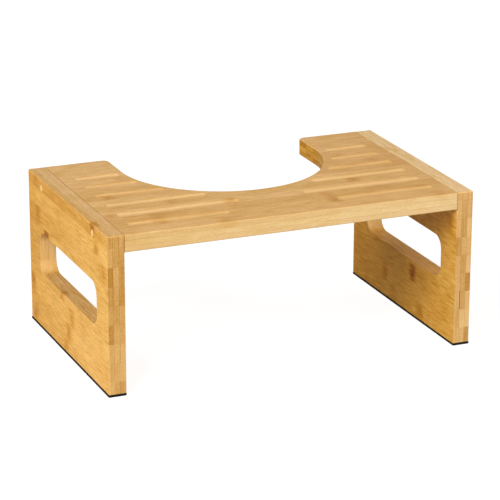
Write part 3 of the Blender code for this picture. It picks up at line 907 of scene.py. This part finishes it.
    # Freshly cut grooves and slot ends, paler, with painted light: more on the groove floors, painting
    # them as bright as their lit far walls, and on the slot ends, painting out the slot's own shadow
    from_end = n.math("MINIMUM", u, n.math("SUBTRACT", length, u))
    if milled:
        below = n.product(n.ramp(w, *GROOVE_TOP_RAMP), n.ramp(w, *GROOVE_FLOOR_RAMP))
        fresh_and_lit = n.product(below, n.ramp(on_face, *GROOVE_FACING_RAMP), GROOVE_FRESH_AND_LIT_SHARE)
        fresh_and_lit_colour = n.blend(n.ramp(tone, *GROOVE_TONE_RAMP), GROOVE_DARK_FRESH_AND_LIT_COLOUR, GROOVE_FRESH_AND_LIT_COLOUR)
    else:
        fresh_and_lit = n.product(on_end, n.ramp(from_end, *SLOT_END_RAMP), n.ramp(laminae, *SLOT_RAMP))
        fresh_and_lit_colour = SLOT_FRESH_AND_LIT_COLOUR
        glue = n.product(glue, n.math("SUBTRACT", 1.0, fresh_and_lit))
    colour = n.blend(fresh_and_lit, colour, fresh_and_lit_colour)
    for share, knuckle_tint in zip((halo, band, core), knuckle_tints):
        colour = n.blend(share, colour, knuckle_tint, "MULTIPLY")
    colour = n.blend(n.product(glue, GLUE_STRENGTH), colour, GLUE_TINT, "MULTIPLY")

    # Seams and joints
    if milled:
        seam = n.product(n.ramp(ply_edge, *SEAM_RAMP), on_end, n.ramp(mottle, *SEAM_PATCH_RAMP))
        colour = n.blend(seam, colour, OPEN_JOINT_TINT, "MULTIPLY")
        joint = n.ramp(n.math("SUBTRACT", from_end, PANEL_THICKNESS), *JOINT_RAMP)
        from_front = v
    else:
        board_base = BOARD_BASE_Z - BASE_Z
        to_inner = w if inner_side * through[2] < 0 else n.math("SUBTRACT", PANEL_THICKNESS, w)
        joint = n.product(n.ramp(to_inner, *JOINT_RAMP), n.ramp(v, board_base - JOINT_FADE, board_base))
        from_front = u
    joint = n.product(joint, n.ramp(from_front, *JOINT_FRONT_RAMP), n.ramp(from_front, *JOINT_REAR_RAMP))
    colour = n.blend(joint, colour, JOINT_TINT, "MULTIPLY")
    if open_joint:
        low, high = open_joint
        off_centre = n.math("ABSOLUTE", n.math("SUBTRACT", v, (low + high) / 2))
        along_joint = n.ramp(off_centre, (high - low) / 2 - JOINT_FADE, (high - low) / 2, 1.0, 0.0)
        gape = n.ramp(n.math("ABSOLUTE", n.math("SUBTRACT", w, ply_thickness)), *OPEN_JOINT_RAMP)
        gape = n.product(gape, along_joint, at_front, OPEN_JOINT_STRENGTH)
        colour = n.blend(gape, colour, OPEN_JOINT_TINT, "MULTIPLY")

    # Worn rims, paler also as a painted highlight along the rounded edges; the board's curved
    # notch counts as flat
    flat = n.math("MAXIMUM", on_face, n.math("ADD" if milled else "MAXIMUM", on_edge, on_end))
    rim = n.ramp(n.math("SUBTRACT", 1.0, flat), *RIM_RAMP)
    wear_and_highlight = n.product(rim, n.ramp(mottle, *WEAR_AND_HIGHLIGHT_RAMP))
    colour = n.blend(n.product(wear_and_highlight, BOARD_WEAR_AND_HIGHLIGHT if milled else PANEL_WEAR_AND_HIGHLIGHT), colour, WORN_AND_HIGHLIGHT_COLOUR)

    roughness = n.total(
        LACQUER_ROUGHNESS,
        n.swing(bundles, BUNDLE_ROUGHNESS),
        n.swing(mottle, MOTTLE_ROUGHNESS),
        n.product(wear_and_highlight, WEAR_ROUGHNESS),
        n.product(glue, GLUE_ROUGHNESS),
    )
    n.set(Base_Color=colour, Roughness=roughness, IOR=LACQUER_IOR, Specular_IOR_Level=BAMBOO_GLOSS)
    height = n.total(
        n.product(bundles, BUNDLE_HEIGHT),
        n.product(fibres, FIBRE_HEIGHT),
        n.product(glue, GLUE_HEIGHT),
        n.product(core, CORE_HEIGHT),
    )
    n.bump(height, *BAMBOO_RELIEF)
    return material


def plug_wood():
    """Pale turned plug, its fibres along X."""
    material = bpy.data.materials.new("plug_wood")
    n = Nodes(material)
    grain = n.noise(n.along_x(PLUG_RATE), detail=3.0, roughness=0.6)
    cloud = n.noise(n.along_x(PLUG_CLOUD_RATE))
    colour = n.blend(grain, *PLUG_COLOURS)
    colour = n.blend(n.ramp(cloud, *PLUG_CLOUD_RAMP), colour, PLUG_CLOUD_COLOUR)
    roughness = n.between(grain, *PLUG_ROUGHNESS)
    n.set(Base_Color=colour, Roughness=roughness, Specular_IOR_Level=BAMBOO_GLOSS)
    n.bump(grain, *PLUG_RELIEF)
    return material


def dowel_wood():
    """Beech with short dark flecks along the dowel."""
    material = bpy.data.materials.new("dowel_wood")
    n = Nodes(material)
    grain = n.noise(n.along_x(DOWEL_RATE), detail=3.0, roughness=0.6)
    flecks = n.noise(n.along_x(DOWEL_FLECK_RATE), detail=1.0)
    colour = n.blend(grain, *DOWEL_COLOURS)
    colour = n.blend(n.ramp(flecks, *DOWEL_FLECK_RAMP), colour, DOWEL_FLECK_COLOUR)
    n.set(Base_Color=colour, Roughness=n.between(grain, *DOWEL_ROUGHNESS))
    n.bump(grain, *DOWEL_RELIEF)
    return material


def zinc():
    """Bright zinc plate, clouded and finely scratched."""
    material = bpy.data.materials.new("zinc")
    n = Nodes(material)
    cloud = n.noise(n.along_x(ZINC_CLOUD_RATE), detail=3.0, roughness=0.6)
    scratches = n.noise(n.along_x(ZINC_SCRATCH_RATE))
    colour = n.blend(cloud, *ZINC_COLOURS)
    n.set(Base_Color=colour, Roughness=n.between(scratches, *ZINC_ROUGHNESS), Metallic=1.0)
    n.bump(scratches, *ZINC_RELIEF)
    return material


def rubber():
    """Matt black foam rubber, pitted and dusty."""
    material = bpy.data.materials.new("rubber")
    n = Nodes(material)
    pits = n.noise(n.along_x(RUBBER_PIT_RATE), detail=3.0, roughness=0.7)
    dust = n.noise(n.along_x(RUBBER_DUST_RATE), detail=4.0, roughness=0.65)
    colour = n.blend(n.ramp(dust, *RUBBER_DUST_RAMP), RUBBER_COLOUR, DUST_COLOUR)
    roughness = n.between(pits, *RUBBER_ROUGHNESS)
    n.set(Base_Color=colour, Roughness=roughness, Specular_IOR_Level=RUBBER_GLOSS)
    n.bump(pits, *RUBBER_RELIEF)
    return material


# Studio

def seen_directly(n):
    """One for what the camera sees, also in gloss and through clear things, else nothing."""
    path = n.add("ShaderNodeLightPath")
    names = ("Is Camera Ray", "Is Glossy Ray", "Is Transmission Ray")
    return n.math("ADD", n.total(*[path.outputs[name] for name in names]), 0.0, clamp=True)


def add_world():
    """White surroundings to the eye, plain soft light to the object."""
    world = bpy.data.worlds.new("surroundings")
    bpy.context.scene.world = world
    n = Nodes(world)
    backdrop = n.tree.nodes["Background"]
    backdrop.inputs["Color"].default_value = WHITE
    backdrop.inputs["Strength"].default_value = 1.0
    light = n.add("ShaderNodeBackground")
    light.inputs["Color"].default_value = WHITE
    light.inputs["Strength"].default_value = SURROUNDINGS_STRENGTH
    choice = n.mix_shaders(seen_directly(n), light, backdrop)
    n.feed(n.tree.nodes["World Output"].inputs["Surface"], choice.outputs[0])


def floor_material():
    """White floor that keeps a faint shadow and is clear from below."""
    material = bpy.data.materials.new("floor_white")
    n = Nodes(material)
    n.tree.nodes.remove(n.shader)
    bounce, shadowed = n.add("ShaderNodeBsdfDiffuse"), n.add("ShaderNodeBsdfDiffuse")
    for diffuse, level in ((bounce, FLOOR_BOUNCE), (shadowed, FLOOR_SHADOW_SHARE)):
        diffuse.inputs["Color"].default_value = (level, level, level, 1)
    glow = n.add("ShaderNodeEmission")
    glow.inputs["Strength"].default_value = FLOOR_GLOW
    shown = n.add("ShaderNodeAddShader")
    n.feed(shown.inputs[0], shadowed.outputs[0])
    n.feed(shown.inputs[1], glow.outputs[0])
    choice = n.mix_shaders(seen_directly(n), bounce, shown)
    from_below = n.add("ShaderNodeNewGeometry").outputs["Backfacing"]
    sided = n.mix_shaders(from_below, choice, n.add("ShaderNodeBsdfTransparent"))
    n.feed(n.tree.nodes["Material Output"].inputs["Surface"], sided.outputs[0])
    return material


def add_floor():
    """Floor that runs past every view."""
    form = bmesh.new()
    bmesh.ops.create_circle(form, cap_ends=True, segments=FLOOR_SEGMENTS, radius=FLOOR_RADIUS)
    mesh = mesh_from(form, "floor")
    if mesh.polygons[0].normal.z < 0:
        mesh.flip_normals()
    mesh.materials.append(floor_material())
    add_object("floor", mesh)


def direction(azimuth, elevation):
    """Unit vector towards a viewer; azimuth 0 is in front and negative ones are to the left."""
    a, e = radians(azimuth), radians(elevation)
    return Vector((sin(a) * cos(e), -cos(a) * cos(e), sin(e)))


def add_lamp(name, azimuth, elevation, distance, size, power):
    """Soft square lamp that faces the stool."""
    data = bpy.data.lights.new(name, "AREA")
    data.shape = "SQUARE"
    data.size = size
    data.energy = power
    lamp = add_object(name, data)
    back = direction(azimuth, elevation)
    lamp.location = Vector((0, 0, TOP_Z / 2)) + back * distance
    lamp.rotation_mode = "QUATERNION"
    lamp.rotation_quaternion = back.to_track_quat("Z", "Y")


def add_camera():
    """Camera of the photograph."""
    data = bpy.data.cameras.new("camera")
    data.lens = CAMERA_LENS
    data.sensor_width = CAMERA_SENSOR
    data.clip_start, data.clip_end = CAMERA_RANGE
    camera = add_object("camera", data)
    back = direction(CAMERA_AZIMUTH, CAMERA_ELEVATION)
    camera.location = Vector(CAMERA_TARGET) + back * CAMERA_DISTANCE
    camera.rotation_mode = "QUATERNION"
    roll = Quaternion((0, 0, 1), radians(CAMERA_ROLL))
    camera.rotation_quaternion = (-back).to_track_quat("-Z", "Y") @ roll
    bpy.context.scene.camera = camera


def add_board():
    """Seat board with its notch, grooves and holes."""
    wall = edge_profile(BOARD_BASE_Z, TOP_Z, EDGE_RADIUS, EDGE_RADIUS)
    form = plate(flat_in_z, [(board_outline, wall)])
    wood = bamboo(
        "board_bamboo",
        along=(0, -OUTER_X, 1),
        across=(1, FRONT_Y, 1),
        through=(2, TOP_Z, -1),
        length=STOOL_WIDTH,
        pitch=BOARD_PITCH,
        shift=0.06,
        turns=(0.0, 3.0, 5.0),
        rows=BOARD_STRIPS,
        ends=BOARD_ENDS,
        light=(0.89, 0.53, 0.170),
        dark=(0.58, 0.27, 0.030),
        end_dark=(0.54, 0.25, 0.030),
        # The face pair adds painted sheen to the top, more at the left end. The pale edge pair paints the
        # front edge's light stronger towards the right, over its own paler colour. The edge and end
        # entries darken the notch wall, partly its own colour and partly painted shade.
        tints_and_painted_light={
            "face": ((1.0, 1.06, 1.45), (0.96, 0.98, 1.25)),
            "pale": ((1.04, 1.19, 1.74), (1.11, 1.41, 2.62)),
            "inner": ((1.0, 1.0, 1.0), (1.0, 1.0, 1.0)),
            "edge": (0.74, 0.72, 0.35),
            "end": (0.84, 0.74, 0.28),
        },
        knuckle_tints=BOARD_KNUCKLE_TINTS,
        grain=BOARD_GRAIN,
        pale_edge=0.0,
        inner_side=-1,
        milled=True,
    )
    mesh = carve(form, [groove_cutters(), board_holes()], "seat_board")
    add_piece("seat_board", mesh, wood)


def add_panels():
    """Side panels; the left one is the right one turned half about Z."""
    outer_wall = edge_profile(INNER_X, OUTER_X, SEAM_EDGE_RADIUS, EDGE_RADIUS)
    slot_wall = edge_profile(INNER_X, OUTER_X, HANDLE_EDGE_RADIUS, HANDLE_EDGE_RADIUS)
    form = plate(flat_in_x, [(panel_outline, outer_wall), (handle_outline, slot_wall)])
    mesh = carve(form, [panel_holes()], "side_panel")
    common = {
        "along": (1, FRONT_Y, 1),
        "across": (2, BASE_Z, 1),
        "length": STOOL_DEPTH,
        "pitch": PANEL_PITCH,
        "light": (0.97, 0.575, 0.165),
        "dark": (0.58, 0.25, 0.006),
        "end_dark": (0.57, 0.26, 0.035),
        "knuckle_tints": PANEL_KNUCKLE_TINTS,
        "grain": PANEL_GRAIN,
        "pale_edge": TOP_Z - BASE_Z,
    }
    left_wood = bamboo(
        "left_panel_bamboo",
        through=(0, -OUTER_X, 1),
        shift=0.341,
        turns=(0.0, 4.0, 1.0),
        rows=LEFT_PANEL_STRIPS,
        ends=LEFT_PANEL_ENDS,
        # The face pair paints light falling off from the front to the rear, the pale edge pair paints
        # sheen on the top edge, and the inner pair paints shade on the inner face, darker to the rear
        tints_and_painted_light={
            "face": ((1.07, 1.08, 1.12), (0.90, 0.81, 0.45)),
            "pale": ((0.92, 1.01, 1.78), (0.92, 1.03, 1.82)),
            "inner": ((0.90, 0.88, 0.72), (0.76, 0.67, 0.41)),
            "edge": (0.79, 0.84, 1.16),
            "end": (0.89, 0.92, 1.20),
        },
        inner_side=1,
        **common,
    )
    right_wood = bamboo(
        "right_panel_bamboo",
        through=(0, INNER_X, 1),
        shift=0.159,
        turns=(0.0, 2.0, 6.0),
        rows=RIGHT_PANEL_STRIPS,
        ends=RIGHT_PANEL_ENDS,
        open_joint=(0.041, 0.064),
        # The face pair paints light falling off from the front to the rear, the pale edge pair paints
        # sheen on the top edge, and the inner pair paints shade on the inner face, darker to the rear
        tints_and_painted_light={
            "face": ((1.07, 1.08, 1.12), (0.90, 0.81, 0.45)),
            "pale": ((1.12, 1.40, 3.30), (1.04, 1.30, 2.75)),
            "inner": ((0.91, 0.89, 0.72), (0.74, 0.63, 0.25)),
            "edge": (0.96, 0.95, 1.05),
            "end": (0.92, 0.99, 1.46),
        },
        inner_side=-1,
        **common,
    )
    add_piece("left_side_panel", placed(mesh, -1), left_wood)
    add_piece("right_side_panel", placed(mesh, 1), right_wood)


def add_pads():
    """Anti-slip strips."""
    wall = edge_profile(PAD_LOW.z, PAD_HIGH.z, PAD_EDGE_RADIUS, PAD_EDGE_RADIUS)
    mesh = mesh_from(plate(flat_in_z, [(pad_outline, wall)]), "anti_slip_pad")
    material = rubber()
    for side, word in SIDES:
        add_piece(word + "_anti_slip_pad", placed(mesh, side), material)


def add_plugs():
    """Plugs in the panels' outer faces."""
    profile = [
        (0, PLUG_RADIUS - PLUG_CHAMFER),
        (-PLUG_CHAMFER, PLUG_RADIUS),
        (PLUG_CHAMFER - PLUG_LENGTH, PLUG_RADIUS),
        (-PLUG_LENGTH, PLUG_RADIUS - PLUG_CHAMFER),
    ]
    form = bmesh.new()
    add_turned(form, profile, 0, 0)
    mesh = mesh_from(form, "plug")
    material = plug_wood()
    for side, side_word in SIDES:
        for end, end_word in ENDS:
            place = (side * OUTER_X, end * PLUG_Y, JOINT_Z)
            add_piece(f"{side_word}_{end_word}_plug", placed(mesh, side, place), material)


def finish_hidden_pieces():
    """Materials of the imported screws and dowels."""
    finishes = {"screw": zinc(), "dowel": dowel_wood()}
    for name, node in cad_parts.items():
        kind = name.rsplit("_", 1)[-1]
        if kind in finishes:
            for slot in node.material_slots:
                slot.material = finishes[kind]


add_camera()
add_world()
add_floor()
for lamp in LAMPS:
    add_lamp(*lamp)
add_board()
add_panels()
add_pads()
add_plugs()
finish_hidden_pieces()

bpy.context.scene.view_settings.view_transform = "Standard"
